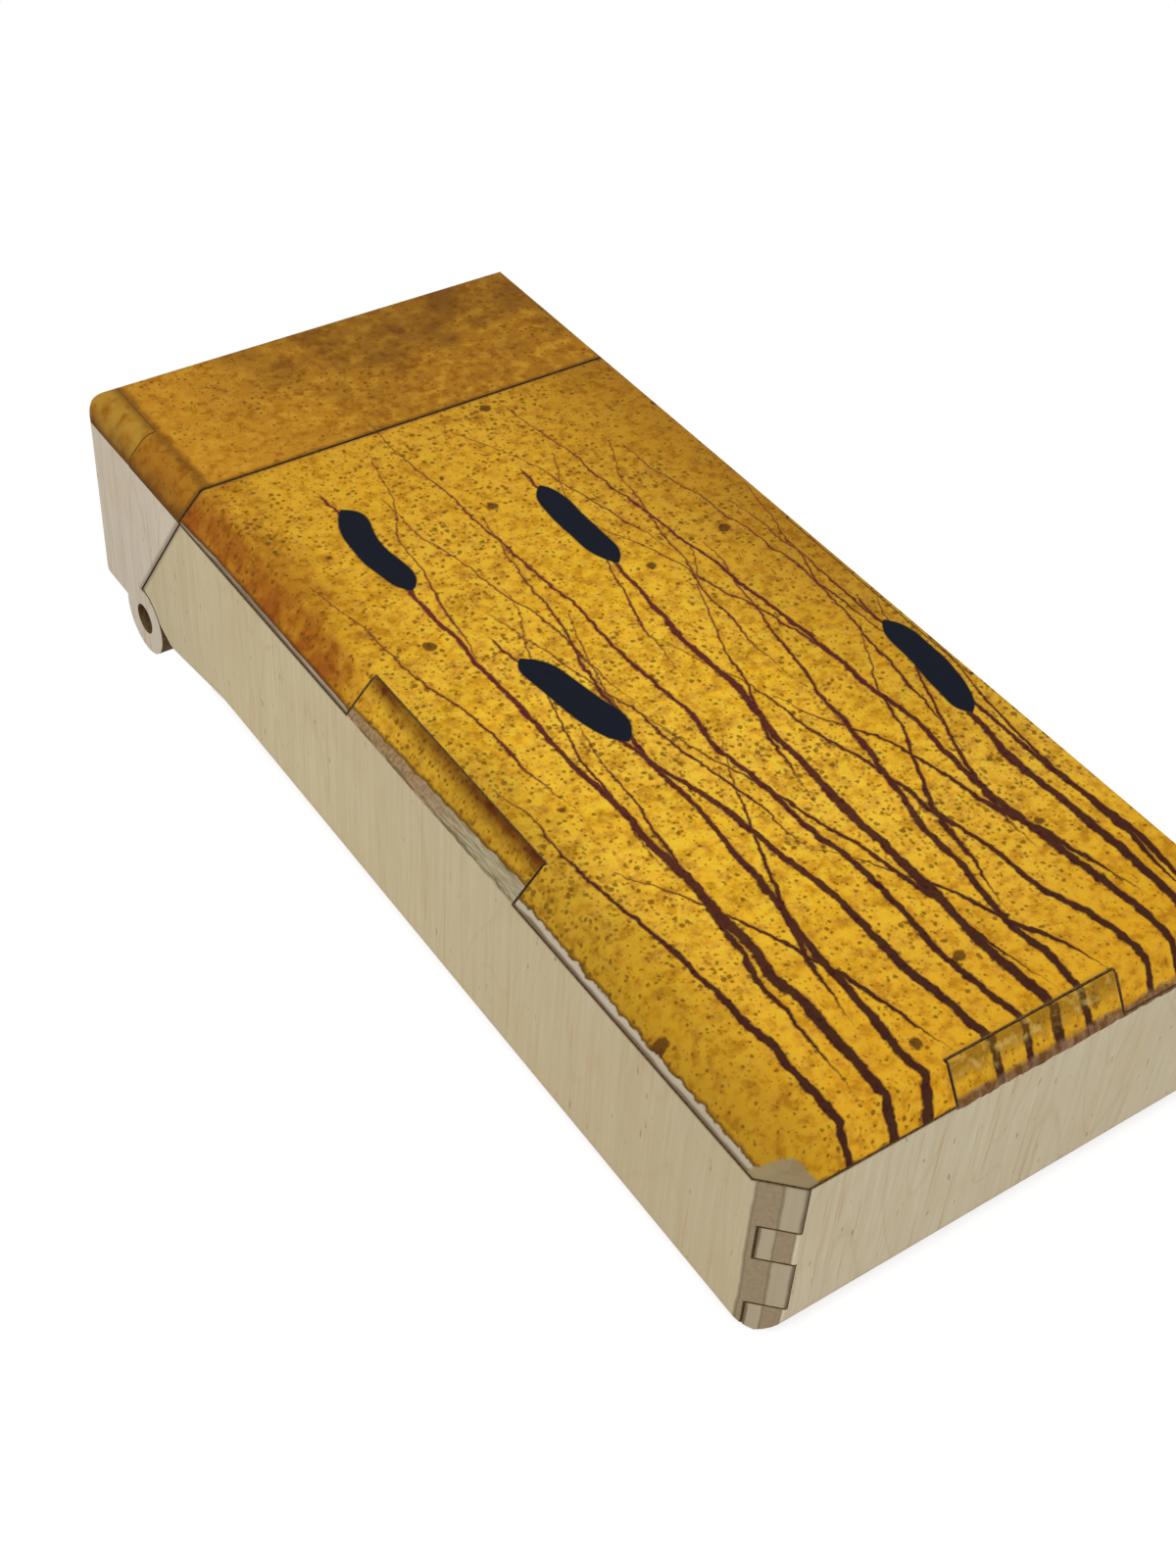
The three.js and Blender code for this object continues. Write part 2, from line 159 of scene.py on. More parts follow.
# Birch plywood, peeled veneer sanded fine: matt, pale and close-grained, with faint warm streaks and a
# rare brown fleck. The colour follows the depth in the sheet, so a sanded corner lays bare the dull core,
# the inner veneer, the thin glue lines between them and the smoke that the laser drove in under the sheet.
def birch_plywood(
    name, node, sheet, facing, grain, pale="#CABB99", tan="#BFAF8B", bottom_shade=0, lining="#AB9E84"
):
    material, tree, shader, place = blank(name)
    veneer, streaks, fibres = birch_veneer(tree, place, grain, pale, tan, bottom_shade)
    low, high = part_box(node)
    inner, outer = (low, high) if facing > 0 else (high, low)
    depth = add(tree, "SeparateXYZ", {0: place})[sheet]
    depth = add(tree, "MapRange", {0: depth, 1: inner[sheet] / MM, 2: outer[sheet] / MM})[0]
    wander = add(tree, "TexNoise", {"Vector": place, "Scale": 1 / 3, "Detail": 2})["Fac"]
    wander = add(tree, "MapRange", {0: wander, 3: -0.05, 4: 0.05})[0]
    depth = add(tree, "Math", {0: depth, 1: wander}, operation="ADD")[0]

    pits = add(tree, "TexNoise", {"Vector": place, "Scale": 1 / 0.35, "Detail": 3})["Fac"]
    pits = add(tree, "MapRange", {0: pits, 1: 0.3, 2: 0.7})[0]
    colour = add(tree, "Mix", {0: pits, 6: linear("#86745A"), 7: linear("#938164")}, data_type="RGBA")[2]
    lined = add(tree, "Mix", {0: streaks, 6: linear(lining), 7: linear("#9A8C71")}, data_type="RGBA")[2]
    below, above = PLY_EDGES
    for edge, reach, layer in ((above, 0.015, veneer), (below, -0.015, lined)):
        share = add(tree, "MapRange", {0: depth, 1: edge - reach, 2: edge + reach})[0]
        colour = add(tree, "Mix", {0: share, 6: colour, 7: layer}, data_type="RGBA")[2]
    for edge in PLY_EDGES:
        glue = add(tree, "Math", {0: depth, 1: edge, 2: GLUE_HALF}, operation="COMPARE")[0]
        glue = add(tree, "Math", {0: glue, 1: 0.4}, operation="MULTIPLY")[0]
        colour = add(tree, "Mix", {0: glue, 6: colour, 7: linear("#57452F")}, data_type="RGBA")[2]
    slant = add(tree, "SeparateXYZ", {0: add(tree, "TexCoord")["Normal"]})[sheet]
    slant = add(tree, "Math", {0: slant}, operation="ABSOLUTE")[0]
    sanded = add(tree, "Math", {0: slant, 1: 0.9}, operation="LESS_THAN")[0]
    smoke = add(tree, "MapRange", {0: depth, 1: 0.09, 2: 0.04, 4: 0.85})[0]
    smoke = add(tree, "Math", {0: smoke, 1: sanded}, operation="MULTIPLY")[0]
    colour = add(tree, "Mix", {0: smoke, 6: colour, 7: linear("#5B4730")}, data_type="RGBA")[2]
    tree.links.new(colour, shader.inputs["Base Color"])

    rough = add(tree, "MapRange", {0: fibres, 1: 0.3, 2: 0.7, 3: 0.64, 4: 0.78})[0]
    tree.links.new(rough, shader.inputs["Roughness"])
    bump = add(tree, "Bump", {"Height": fibres, "Strength": 0.3, "Distance": 0.04 * MM})[0]
    tree.links.new(bump, shader.inputs["Normal"])
    shader.inputs["Specular IOR Level"].default_value = WOOD_GLOSS
    return material


# Birch charred by the laser: a thin dry brown crust, darker where the beam paused.
def charred_birch():
    material, tree, shader, place = blank("laser_charred_birch")
    crust = add(tree, "TexNoise", {"Vector": place, "Scale": 1 / 0.3, "Detail": 2})["Fac"]
    crust = add(tree, "MapRange", {0: crust, 1: 0.35, 2: 0.65})[0]
    colour = add(tree, "Mix", {0: crust, 6: linear("#4C3822"), 7: linear("#685232")}, data_type="RGBA")[2]
    tree.links.new(colour, shader.inputs["Base Color"])
    shader.inputs["Roughness"].default_value = 0.9
    shader.inputs["Specular IOR Level"].default_value = 0.2
    return material


def out_of_reach(face, sheet):
    """True for a face cut through the sheet that the sander can't have reached from outside."""
    centre = face.calc_center_median()
    point = centre + face.normal * SAND_REACH
    inside = all(low < value < high for low, value, high in zip(outside_low, point, outside_high))
    start = centre + face.normal * CLEAR_OF_FACE
    faced = solids.ray_cast(start, face.normal, SAND_REACH)[0] is not None
    behind = centre.z < outside_low.z
    return (inside or faced or behind) and abs(face.normal[sheet]) < CUT_SLOPE


def cut_panel(node, body, sheet, finish):
    """A panel as it comes from the bench: its solid with eased edges and charred cuts."""
    shape = bmesh.new()
    shape.from_mesh(frame["nodes"][node].data)
    bmesh.ops.remove_doubles(shape, verts=shape.verts, dist=SAME_POINT)
    bmesh.ops.dissolve_limit(shape, angle_limit=ONE_FACE, verts=shape.verts, edges=shape.edges)
    shape.normal_update()
    for face in shape.faces:
        face.smooth = True
        face.material_index = int(out_of_reach(face, sheet))
    sharp = [edge for edge in shape.edges if edge.calc_face_angle(0) > SHARP]
    eased = bmesh.ops.bevel(shape, geom=sharp, offset=EASED, offset_type="OFFSET", affect="EDGES",
                            segments=EASED_STRIPS, profile=0.5, material=-1, clamp_overlap=True)["faces"]
    for face in eased:
        face.material_index = 0
    for strip in range(EASED_STRIPS):
        scorched = [face for face in eased
                    if any(other.material_index for edge in face.edges for other in edge.link_faces)]
        for face in scorched:
            face.material_index = 1
    mesh = bpy.data.meshes.new(node + "_birch")
    shape.to_mesh(mesh)
    shape.free()
    mesh.set_sharp_from_angle(angle=CREASE)
    mesh.materials.append(finish)
    mesh.materials.append(char)
    panel = bpy.data.objects.new(node + "_birch", mesh)
    bpy.context.collection.objects.link(panel)
    panel.modifiers.new("even_shading", "WEIGHTED_NORMAL").keep_sharp = True
    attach(panel, body)
    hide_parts(node)


char = charred_birch()
back_finish = birch_plywood("back_birch", "back_panel", UP, -1, ALONG)
cut_panel("back_panel", "case", UP, back_finish)

# Front panel of the case: the same birch, let in round the tabs of the sides and of the end. It was printed
# after gluing and sanding, so the ink runs on over the tabs and down the chamfers, and is worn off there.
# All sizes of the print are in millimetres on the case.
front_low, front_high = (Vector(corner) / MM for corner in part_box("front_panel"))
joint = front_low.z  # height at which the front meets the sides and the end
seam = front_high.y + 0.15  # where the lid begins, along the case
lid_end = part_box("lid_front_panel")[1][ALONG] / MM
SIDE_TAB = (-21.3, 4.5)  # where the side tabs come up through the front, along the case
SIDE_TAB_EDGE = 22  # inner edge of those tabs, from the middle
END_TAB = (8.4, -52.8)  # half the width of the end tab, and its inner edge along the case
LID_TAB = lid_end - 9.2  # where the lid's side tabs begin, along the case
CLOUDS = ((0.35, 1), (0.9, 3), (1.5, 4), (2.6, 3), (4.5, 4), (14, 2))  # size and detail of each cloud
SPECKS = ((0.62, 0.75, "#654510"), (0.42, 0.6, "#79560F"))  # spacing, strength and colour of the specks
INK_GLOSS = 0.04
UNDERSIDE = -0.5  # a face that is turned further down than this takes no ink

# Bulrushes of the printed design. Stems: foot on the bottom edge, lean and bend of the tip, height, half
# the width at the foot, and half the width of the seed head near the tip.
STEMS = [
    (20.0, 2, -3, 66, 0.45, 0),
    (17.6, 1, 2, 48, 0.58, 1.75),
    (14.6, -1, -4, 90, 0.5, 0),
    (11.6, -4, -6, 52, 0.45, 0),
    (5.0, 4, 5, 62, 0.5, 0),
    (2.0, 2, 1, 80, 0.58, 1.65),
    (-0.6, -2, -1, 94, 0.45, 0),
    (-3.8, -2, -5, 60, 0.55, 1.7),
    (-10.6, 4, 5, 76, 0.5, 0),
    (-13.6, 1, -1, 86, 0.55, 1.6),
    (-17.8, 0, -3, 44, 0.5, 0),
]
HEAD_LENGTH = 14
HEAD_FROM_TIP = 11.5
HEAD_BLUNT = 6  # how squarely the ends of a seed head are rounded
# Leaves: foot across and along the front, lean and bend of the tip, length, half the greatest width.
LEAVES = [
    (18.8, -54, 3, 1, 40, 0.5),
    (16.0, -50, -2, -9, 36, 0.5),
    (12.8, -42, 3, 7, 34, 0.4),
    (15.5, -34, 1, 6, 46, 0.3),
    (14.0, -22, -2, -8, 40, 0.28),
    (8.6, -54, -4, -8, 24, 0.45),
    (6.4, -46, 4, 8, 36, 0.45),
    (3.6, -54, -3, -6, 44, 0.45),
    (0.8, -30, 3, 9, 37, 0.32),
    (-2.4, -36, -2, -5, 44, 0.3),
    (0.5, -12, 2, 7, 37, 0.25),
    (-4.5, -14, -1, -4, 41, 0.25),
    (-6.8, -54, -4, -7, 30, 0.45),
    (-12.0, -48, 4, 8, 32, 0.45),
    (-15.6, -54, 2, 4, 46, 0.45),
    (-14.4, -30, 2, 7, 39, 0.3),
    (-16.4, -22, -2, -3, 41, 0.28),
    (-13.5, -4, 2, 6, 37, 0.24),
    (8.0, -18, 1, 6, 42, 0.25),
    (10.5, 2, -2, -6, 31, 0.22),
    (19.4, -22, -1, -3, 45, 0.26),
    (-8.2, -26, 2, 3, 30, 0.28),
]
STEM_TIP, LEAF_TIP = 0.25, 0.14  # half the width near the tip, under a seed head and without one
PEN_SHAKE = 0.7
PEN_SOFT = 0.2  # soft edge of a printed line


def print_zones(tree, across, along, up):
    """Zones of the print, 1 inside and 0 outside, then two that fade: the lid and the amber bottom end."""
    zone = {}
    offside = add(tree, "Math", {0: across}, operation="ABSOLUTE")[0]
    for name, value, side, limit in (
        ("after_tab_start", along, "GREATER_THAN", SIDE_TAB[0]),
        ("before_tab_end", along, "LESS_THAN", SIDE_TAB[1]),
        ("short_of_tab", along, "LESS_THAN", SIDE_TAB[0]),
        ("past_tab", along, "GREATER_THAN", SIDE_TAB[1]),
        ("left_tab", across, "LESS_THAN", 0.15 - SIDE_TAB_EDGE),
        ("end_tab", offside, "LESS_THAN", END_TAB[0]),
        ("end_tab_and_right", across, "GREATER_THAN", -END_TAB[0]),
        ("end", along, "LESS_THAN", front_low.y + 2),
        ("lid", along, "GREATER_THAN", seam),
        ("lid_tab", along, "GREATER_THAN", LID_TAB),
        ("over_joint", up, "GREATER_THAN", joint - 0.05),
        ("under_joint", up, "LESS_THAN", joint),
    ):
        zone[name] = add(tree, "Math", {0: value, 1: limit}, operation=side)[0]
    tab_ends = {0: zone["after_tab_start"], 1: zone["before_tab_end"]}
    zone["side_tab"] = add(tree, "Math", tab_ends, operation="MULTIPLY")[0]
    for name, start, end, most in (("lid_tint", seam - 0.1, seam + 0.1, 0.8), ("amber", -30, -50, 0.5)):
        zone[name] = add(tree, "MapRange", {0: along, 1: start, 2: end, 4: most})[0]
    return zone


def golden_ground(tree, across, along, cloud, zone):
    """Ground of the print: golden clouds and grains, amber towards the bottom end, browner towards the
    seam, to the right and on the lid, olive near the left corner, and burnt orange down the left edge."""
    share = {"lid": zone["lid_tint"], "lid_brown": zone["lid_tint"], "amber": zone["amber"]}
    for name, value, start, end, least, most in (
        ("light", cloud[14], 0.36, 0.62, 0, 1),
        ("dark", cloud[2.6], 0.46, 0.7, 0, 0.6),
        ("tan", cloud[1.5], 0.5, 0.64, 0, 0.55),
        ("bright", cloud[0.9], 0.48, 0.34, 0, 0.65),
        ("grains", cloud[0.35], 0.52, 0.7, 0, 0.55),
        ("mottle", cloud[0.9], 0.5, 0.66, 0, 0.75),
        ("far", along, -5, seam, 0, 0.55),
        ("right", across, 5, front_high.x - 3, 0, 1),
        ("right_far", along, -36, -2, 0.1, 0.75),
        ("left", across, front_low.x + 8, front_low.x + 1, 0, 1),
        ("olive", along, 6, -10, 0, 0.75),
        ("stain", cloud[4.5], 0.38, 0.58, 0.1, 0.95),
        ("slope", across, front_low.x + 4, front_low.x + 2.2, 0, 1),
        ("patchy", cloud[2.6], 0.35, 0.6, 0.7, 1),
        ("beyond_tab", along, 2, 9, 0.15, 1),
        ("short_of_lid", zone["lid_tint"], 0, 0.8, 1, 0.2),
        ("blot", cloud[4.5], 0.44, 0.62, 0, 1),
        ("blot_far", along, 30, lid_end - 3, 0, 0.9),
        ("to_right", across, -17, 2, 0.12, 1),
        ("lid_slope", across, 1 - SIDE_TAB_EDGE, -SIDE_TAB_EDGE - 0.6, 0, 0.7),
        ("lid_light", cloud[1.5], 0.53, 0.38, 0, 0.7),
        ("lid_far", along, lid_end - 14, lid_end - 3, 0, 0.45),
    ):
        share[name] = add(tree, "MapRange", {0: value, 1: start, 2: end, 3: least, 4: most})[0]
    for name, factor, way in (
        ("slope", "patchy", "MULTIPLY"),
        ("stain", "slope", "MAXIMUM"),
        ("stain", "left", "MULTIPLY"),
        ("stain", "beyond_tab", "MULTIPLY"),
        ("stain", "short_of_lid", "MULTIPLY"),
        ("right", "right_far", "MULTIPLY"),
        ("olive", "left", "MULTIPLY"),
        ("blot", "blot_far", "MULTIPLY"),
        ("blot", "to_right", "MULTIPLY"),
        ("lid_brown", "to_right", "MULTIPLY"),
        ("lid_slope", "lid", "MULTIPLY"),
        ("lid_light", "lid", "MULTIPLY"),
        ("lid_far", "to_right", "MULTIPLY"),
    ):
        share[name] = add(tree, "Math", {0: share[name], 1: share[factor]}, operation=way)[0]
    ink = linear("#E8AF20")
    for name, tint in (
        ("light", "#ECB634"),
        ("dark", "#B98710"),
        ("tan", "#C28A34"),
        ("bright", "#EDC733"),
        ("grains", "#EBC04A"),
        ("far", "#BE8620"),
        ("amber", "#CC8C14"),
        ("olive", "#9F7A1C"),
        ("right", "#96621C"),
        ("lid", "#C28423"),
        ("lid_brown", "#A36E1C"),
        ("lid_light", "#D09C30"),
        ("lid_slope", "#85551B"),
        ("lid_far", "#6E461A"),
        ("stain", "#935116"),
        ("blot", "#7A4E1B"),
    ):
        ink = add(tree, "Mix", {0: share[name], 6: ink, 7: linear(tint)}, data_type="RGBA")[2]
    mottled = {0: share["mottle"], 6: ink, 7: linear("#D3C39F")}
    return add(tree, "Mix", mottled, data_type="RGBA", blend_type="MULTIPLY")[2]


def speckled(tree, place, cloud, zone, ink):
    """Specks of many sizes, crowded in the middle, few on the lid and the bottom end, then larger spots."""
    crowd = add(tree, "MapRange", {0: cloud[14], 1: 0.3, 2: 0.7, 3: 0.32, 4: 0.56})[0]
    for sparse, fewer in ((zone["lid_tint"], -0.17), (zone["amber"], -0.24)):
        crowd = add(tree, "Math", {0: sparse, 1: fewer, 2: crowd}, operation="MULTIPLY_ADD")[0]
    ragged = add(tree, "MapRange", {0: cloud[0.35], 3: -0.25, 4: 0.25})[0]
    for spacing, most, tint in SPECKS:
        dots = add(tree, "TexVoronoi", {"Vector": place, "Scale": 1 / spacing})
        chance = add(tree, "SeparateColor", {0: dots["Color"]})[0]
        size = add(tree, "Math", {0: chance, 1: crowd}, operation="MULTIPLY")[0]
        gap = add(tree, "Math", {0: dots["Distance"], 1: ragged}, operation="ADD")[0]
        inside = add(tree, "Math", {0: size, 1: gap}, operation="SUBTRACT")[0]
        share = add(tree, "MapRange", {0: inside, 1: -0.06, 2: 0.14, 4: most})[0]
        ink = add(tree, "Mix", {0: share, 6: ink, 7: linear(tint)}, data_type="RGBA")[2]
    cells = add(tree, "TexVoronoi", {"Vector": place, "Scale": 1 / 8}, voronoi_dimensions="2D")
    torn = add(tree, "Math", {0: cloud[0.9], 1: 0.12, 2: cells["Distance"]}, operation="MULTIPLY_ADD")[0]
    chance = add(tree, "SeparateColor", {0: cells["Color"]})[0]
    size = add(tree, "MapRange", {0: chance, 1: 0.4, 2: 1, 3: 0.05, 4: 0.16})[0]
    inside = add(tree, "Math", {0: size, 1: torn}, operation="SUBTRACT")[0]
    spots = add(tree, "MapRange", {0: inside, 1: 0, 2: 0.03, 4: 0.85})[0]
    return add(tree, "Mix", {0: spots, 6: ink, 7: linear("#4A260F")}, data_type="RGBA")[2]


def reeds(tree, across, along, cloud, ink):
    """Bulrushes drawn with an unsteady pen: a stem thins upward, a leaf thins to both ends."""
    sway = add(tree, "MapRange", {0: cloud[14], 3: -2, 4: 2})[0]
    steady = add(tree, "Math", {0: across, 1: sway}, operation="ADD")[0]
    pen = add(tree, "Math", {0: cloud[0.9], 1: PEN_SHAKE, 2: steady}, operation="MULTIPLY_ADD")[0]
    lines, heads = 0.0, 0.0
    stems = [(foot, front_low.y, *rest) for foot, *rest in STEMS]
    for foot, base, lean, bend, height, half, head in stems + [leaf + (None,) for leaf in LEAVES]:
        rise = add(tree, "MapRange", {0: along, 1: base, 2: base + height})[0]
        tip = add(tree, "Math", {0: rise, 1: bend, 2: lean}, operation="MULTIPLY_ADD")[0]
        middle = add(tree, "Math", {0: rise, 1: tip, 2: foot}, operation="MULTIPLY_ADD")[0]
        gap = add(tree, "Math", {0: pen, 1: middle}, operation="SUBTRACT")[0]
        gap = add(tree, "Math", {0: gap}, operation="ABSOLUTE")[0]
        thinned = STEM_TIP if head else LEAF_TIP
        width = add(tree, "MapRange", {0: rise, 1: 0.2, 2: 0.98, 3: half, 4: thinned})[0]
        end = add(tree, "MapRange", {0: rise, 1: 0.97, 2: 1, 4: -0.4})[0]
        width = add(tree, "Math", {0: width, 1: end}, operation="ADD")[0]
        if head is None:
            start = add(tree, "MapRange", {0: rise, 1: 0, 2: 0.3, 3: -half, 4: 0})[0]
            width = add(tree, "Math", {0: width, 1: start}, operation="ADD")[0]
        inside = add(tree, "Math", {0: width, 1: gap}, operation="SUBTRACT")[0]
        lines = add(tree, "Math", {0: lines, 1: inside}, operation="MAXIMUM")[0]
        if head:
            top = base + height - HEAD_FROM_TIP + HEAD_LENGTH / 2
            reach = add(tree, "MapRange", {0: along, 1: top - HEAD_LENGTH, 2: top, 3: -1, 4: 1})[0]
            reach = add(tree, "Math", {0: reach}, operation="ABSOLUTE")[0]
            reach = add(tree, "Math", {0: reach, 1: HEAD_BLUNT}, operation="POWER")[0]
            width = add(tree, "Math", {0: reach, 1: -head - 0.3, 2: head}, operation="MULTIPLY_ADD")[0]
            gap = add(tree, "Math", {0: steady, 1: middle}, operation="SUBTRACT")[0]
            gap = add(tree, "Math", {0: gap}, operation="ABSOLUTE")[0]
            inside = add(tree, "Math", {0: width, 1: gap}, operation="SUBTRACT")[0]
            heads = add(tree, "Math", {0: heads, 1: inside}, operation="MAXIMUM")[0]
    thin = add(tree, "MapRange", {0: along, 1: -45, 2: 10})[0]
    maroon = add(tree, "Mix", {0: thin, 6: linear("#2E0817"), 7: linear("#5A1524")}, data_type="RGBA")[2]
    for inside, most, tint in ((lines, 0.95, maroon), (heads, 1, linear("#161A24"))):
        share = add(tree, "MapRange", {0: inside, 1: 0, 2: PEN_SOFT, 4: most})[0]
        ink = add(tree, "Mix", {0: share, 6: ink, 7: tint}, data_type="RGBA")[2]
    return ink


def tab_edges(tree, across, along, cloud, zone, ink):
    """Painted shade, dark brown and wide, along the inner edge of the left side tab, as at a small step
    there; and the ink frayed along the inner edge of the end tab.
    """
    # Painted shade: a patchy dark brown band along the inner edge of the left side tab.
    by_edge = add(tree, "MapRange", {0: across, 1: -SIDE_TAB_EDGE - 1.3, 2: -SIDE_TAB_EDGE - 0.4})[0]
    step_shade = add(tree, "MapRange", {0: cloud[4.5], 1: 0.35, 2: 0.6, 3: 0.7, 4: 1})[0]
    for factor in (by_edge, zone["left_tab"], zone["side_tab"]):
        step_shade = add(tree, "Math", {0: step_shade, 1: factor}, operation="MULTIPLY")[0]
    ink = add(tree, "Mix", {0: step_shade, 6: ink, 7: linear("#54240A")}, data_type="RGBA")[2]
    frayed = add(tree, "Math", {0: cloud[0.9], 1: 1.2, 2: along}, operation="MULTIPLY_ADD")[0]
    frayed = add(tree, "Math", {0: frayed, 1: END_TAB[1] + 0.1}, operation="SUBTRACT")[0]
    frayed = add(tree, "Math", {0: frayed}, operation="ABSOLUTE")[0]
    frayed = add(tree, "MapRange", {0: frayed, 1: 1, 2: 0.2, 4: 0.65})[0]
    frayed = add(tree, "Math", {0: frayed, 1: zone["end_tab"]}, operation="MULTIPLY")[0]
    chip = add(tree, "MapRange", {0: cloud[0.9], 1: 0.5, 2: 0.68})[0]
    chip = add(tree, "Mix", {0: chip, 6: linear("#6B4A14"), 7: linear("#C9AC5C")}, data_type="RGBA")[2]
    return add(tree, "Mix", {0: frayed, 6: ink, 7: chip}, data_type="RGBA")[2]


def lower_edge(tree, along, up, cloud, zone):
    """The uneven level of a place, and its height over the lower edge of the print. That edge lies a hair
    above the joint, higher on the side tabs, where it is rubbed off, and lower on the lid and the end."""
    on_tab = {0: along, 1: SIDE_TAB[0], 2: SIDE_TAB[1], 3: joint + 1.25, 4: joint + 0.55}
    hem = add(tree, "MapRange", on_tab)[0]
    at_end = add(tree, "MapRange", {0: zone["end_tab_and_right"], 3: joint - 0.1, 4: joint - 0.45})[0]
    for name, level in (
        ("short_of_tab", joint + 0.5),
        ("past_tab", joint + 0.25),
        ("lid", joint - 0.05),
        ("end", at_end),
    ):
        hem = add(tree, "Mix", {0: zone[name], 2: hem, 3: level})[0]
    rough = add(tree, "MapRange", {0: along, 1: 2, 2: 8, 3: 0.45, 4: 0.12})[0]
    uneven = add(tree, "Math", {0: cloud[1.5], 1: -0.5}, operation="ADD")[0]
    uneven = add(tree, "Math", {0: uneven, 1: rough, 2: up}, operation="MULTIPLY_ADD")[0]
    bitten = add(tree, "MapRange", {0: cloud[0.9], 1: 0.3, 2: 0.7, 3: -0.13, 4: 0.13})[0]
    bitten = {0: bitten, 1: zone["short_of_tab"], 2: uneven}
    uneven = add(tree, "Math", bitten, operation="MULTIPLY_ADD")[0]
    return uneven, add(tree, "Math", {0: uneven, 1: hem}, operation="SUBTRACT")[0]


def browned_edges(tree, across, along, height, cloud, zone, ink):
    """Brown along the edges: a dark line at the lower edge and by the seam, and on the lid a darkened fold
    and slope round a yellowed tab."""
    to_fold = add(tree, "Math", {0: cloud[1.5], 1: 1.6, 2: across}, operation="MULTIPLY_ADD")[0]
    to_fold = add(tree, "Math", {0: to_fold, 1: -SIDE_TAB_EDGE + 0.9}, operation="SUBTRACT")[0]
    to_fold = add(tree, "Math", {0: to_fold}, operation="ABSOLUTE")[0]
    to_seam = add(tree, "Math", {0: along, 1: seam}, operation="SUBTRACT")[0]
    to_seam = add(tree, "Math", {0: to_seam}, operation="ABSOLUTE")[0]
    patchy = add(tree, "MapRange", {0: cloud[2.6], 1: 0.4, 2: 0.55, 3: 0.5})[0]
    for value, start, end, most, factors, tint in (
        (height, 0.32, 0.12, 0.75, (), "#4C2F14"),
        (cloud[1.5], 0.36, 0.56, 0.7, (zone["left_tab"], zone["lid_tab"]), "#B08A34"),
        (to_fold, 0.8, 0.2, 0.6, (zone["lid"],), "#6A4213"),
        (to_seam, 0.55, 0.2, 0.6, (), "#6A4213"),
        (height, 0.9, 0.3, 0.7, (zone["lid"],), "#583512"),
        (height, 2.2, 0.4, 0.9, (zone["lid"], patchy), "#664019"),
    ):
        share = add(tree, "MapRange", {0: value, 1: start, 2: end, 4: most})[0]
        for factor in factors:
            share = add(tree, "Math", {0: share, 1: factor}, operation="MULTIPLY")[0]
        ink = add(tree, "Mix", {0: share, 6: ink, 7: linear(tint)}, data_type="RGBA")[2]
    return ink


def rubbed_tabs(tree, place, along, uneven, height, cloud, zone, ink):
    """Side tabs rubbed bare below the print, rusty brown at the far end and grey at the near one, with a
    broken line scored along the joint. Gives the ink and where it covers the wood."""
    cover = add(tree, "MapRange", {0: height, 1: -0.06, 2: 0.06})[0]
    low = add(tree, "Math", {0: height, 1: 0}, operation="LESS_THAN")[0]
    rubbed = 0.9
    for factor in (zone["side_tab"], low, zone["over_joint"]):
        rubbed = add(tree, "Math", {0: rubbed, 1: factor}, operation="MULTIPLY")[0]
    cover = add(tree, "Math", {0: cover, 1: rubbed}, operation="MAXIMUM")[0]
    rust = add(tree, "MapRange", {0: cloud[0.35], 1: 0.4, 2: 0.6})[0]
    rust = add(tree, "Mix", {0: rust, 6: linear("#876B49"), 7: linear("#A1835D")}, data_type="RGBA")[2]
    grey = add(tree, "MapRange", {0: grained(tree, place, ALONG, 0.12, 1.8, 2), 1: 0.4, 2: 0.62})[0]
    grey = add(tree, "Mix", {0: grey, 6: linear("#B0A384"), 7: linear("#877A5C")}, data_type="RGBA")[2]
    rusty = add(tree, "MapRange", {0: along, 1: -14, 2: -5})[0]
    wood = add(tree, "Mix", {0: rusty, 6: grey, 7: rust}, data_type="RGBA")[2]
    scored = add(tree, "Math", {0: uneven, 1: joint + 0.1, 2: 0.09}, operation="COMPARE")[0]
    broken = add(tree, "MapRange", {0: cloud[2.6], 1: 0.4, 2: 0.55, 3: 0.15, 4: 0.75})[0]
    scored = add(tree, "Math", {0: scored, 1: broken}, operation="MULTIPLY")[0]
    wood = add(tree, "Mix", {0: scored, 6: wood, 7: linear("#4E3E27")}, data_type="RGBA")[2]
    return add(tree, "Mix", {0: low, 6: ink, 7: wood}, data_type="RGBA")[2], cover


def browned_end(tree, place, height, zone, ink):
    """A streaked brown band where the print runs down over the end panel."""
    share = add(tree, "MapRange", {0: height, 1: 1.1, 2: 0.75, 4: 0.9})[0]
    for factor in (zone["end"], zone["end_tab_and_right"]):
        share = add(tree, "Math", {0: share, 1: factor}, operation="MULTIPLY")[0]
    streak = add(tree, "MapRange", {0: grained(tree, place, UP, 0.5, 5, 2), 1: 0.35, 2: 0.65})[0]
    streak = add(tree, "Mix", {0: streak, 6: linear("#5C3A22"), 7: linear("#927256")}, data_type="RGBA")[2]
    return add(tree, "Mix", {0: share, 6: ink, 7: streak}, data_type="RGBA")[2]


